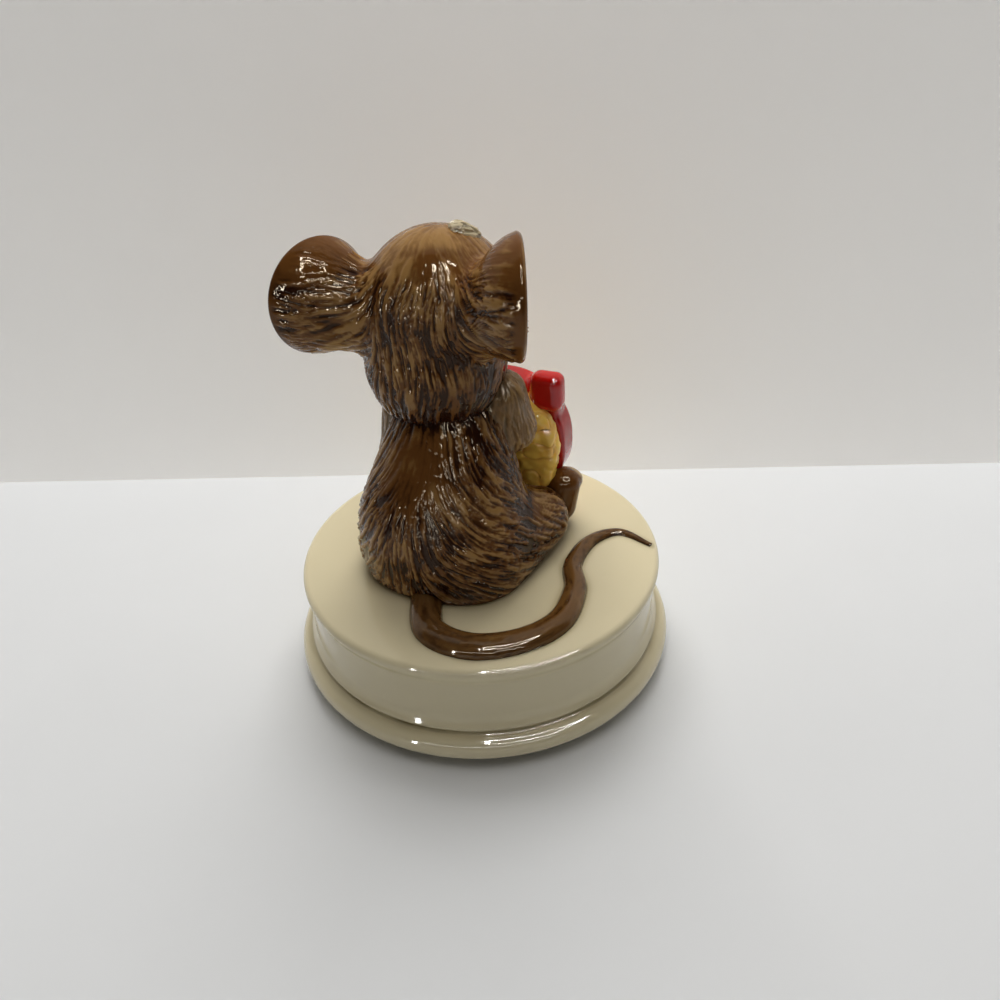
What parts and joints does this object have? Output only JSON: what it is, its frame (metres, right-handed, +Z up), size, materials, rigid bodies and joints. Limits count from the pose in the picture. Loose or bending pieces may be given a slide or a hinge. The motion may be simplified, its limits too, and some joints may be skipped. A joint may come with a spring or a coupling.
{
  "type": "revolving musical mouse figurine",
  "caption": "Glazed ceramic mouse hugging a waxed cheese, seated on a round drum that revolves on a turntable driven by a wind-up comb movement inside.",
  "frame": {"origin": "centre of the face that it stands on", "axes": "+Z up; the mouse faces -Y and its left is +X; the movement's cylinder lies along +X"},
  "size_m": [0.1, 0.1, 0.1165],
  "materials": {
    "black_rubber": "matte",
    "zinc_plate": "brushed",
    "screw_steel": "satin",
    "arbor_steel": "polished",
    "gear_brass": "satin",
    "spring_steel": "satin",
    "comb_block_zinc": "cast",
    "closing_plate_plastic": "matte",
    "fan_aluminium": "satin",
    "cream_glaze": "gloss glaze",
    "brown_glaze": "gloss glaze",
    "tail_glaze": "gloss glaze",
    "tan_glaze": "gloss glaze",
    "black_glaze": "gloss glaze",
    "red_glaze": "gloss glaze",
    "yellow_glaze": "gloss glaze"
  },
  "bodies": {
    "turntable": {"foot_pad": "black_rubber", "turntable": "zinc_plate", "turntable_screw": "screw_steel", "winding_arbor": "arbor_steel", "crown_wheel": "gear_brass"},
    "figurine": {"drum_base": "cream_glaze", "closing_plate": "closing_plate_plastic", "mounting_screws": "screw_steel", "bedplate": "zinc_plate", "arbor_bush": "gear_brass", "spring_barrel": "gear_brass", "mainspring": "spring_steel", "bridge": "zinc_plate", "bridge_pillars": "arbor_steel", "bridge_screws": "screw_steel", "bearing_brackets": "zinc_plate", "comb": "spring_steel", "comb_block": "comb_block_zinc", "comb_screws": "screw_steel", "governor_frame": "zinc_plate", "governor_screw": "screw_steel", "mouse_torso": "brown_glaze", "mouse_head": "brown_glaze", "left_ear": "brown_glaze", "right_ear": "brown_glaze", "left_arm": "brown_glaze", "right_arm": "brown_glaze", "left_thigh": "brown_glaze", "right_thigh": "brown_glaze", "left_foot": "brown_glaze", "right_foot": "brown_glaze", "tail": "tail_glaze", "forelock": "tan_glaze", "nose": "black_glaze", "eyes": "black_glaze", "cheese": "yellow_glaze", "cheese_rind": "red_glaze"},
    "cylinder": {"cylinder_arbor": "arbor_steel", "cylinder_pinion": "gear_brass", "music_cylinder": "gear_brass", "cylinder_wheel": "gear_brass"},
    "governor": {"governor_arbor": "arbor_steel", "governor_pinion": "gear_brass", "worm_wheel": "gear_brass"},
    "fan": {"fan_arbor": "arbor_steel", "fan": "fan_aluminium"}
  },
  "joints": [
    {"name": "figurine_spin", "type": "hinge", "parent": "turntable", "child": "figurine", "pos_m": [0, 0, 0], "axis": [0, 0, 1], "continuous": true},
    {"name": "cylinder_spin", "type": "hinge", "parent": "figurine", "child": "cylinder", "pos_m": [0.0245, 0, 0.01535], "axis": [1, 0, 0], "continuous": true},
    {"name": "governor_spin", "type": "hinge", "parent": "figurine", "child": "governor", "pos_m": [0.0345, -0.00731, 0.01535], "axis": [1, 0, 0], "continuous": true},
    {"name": "fan_spin", "type": "hinge", "parent": "figurine", "child": "fan", "pos_m": [0.0361, -0.01251, 0.01535], "axis": [0, 0, 1], "continuous": true}
  ],
  "couplings": [
    {"joint": "cylinder_spin", "follows": "figurine_spin", "ratio": -3},
    {"joint": "governor_spin", "follows": "figurine_spin", "ratio": 14.4},
    {"joint": "fan_spin", "follows": "figurine_spin", "ratio": 172.8}
  ]
}
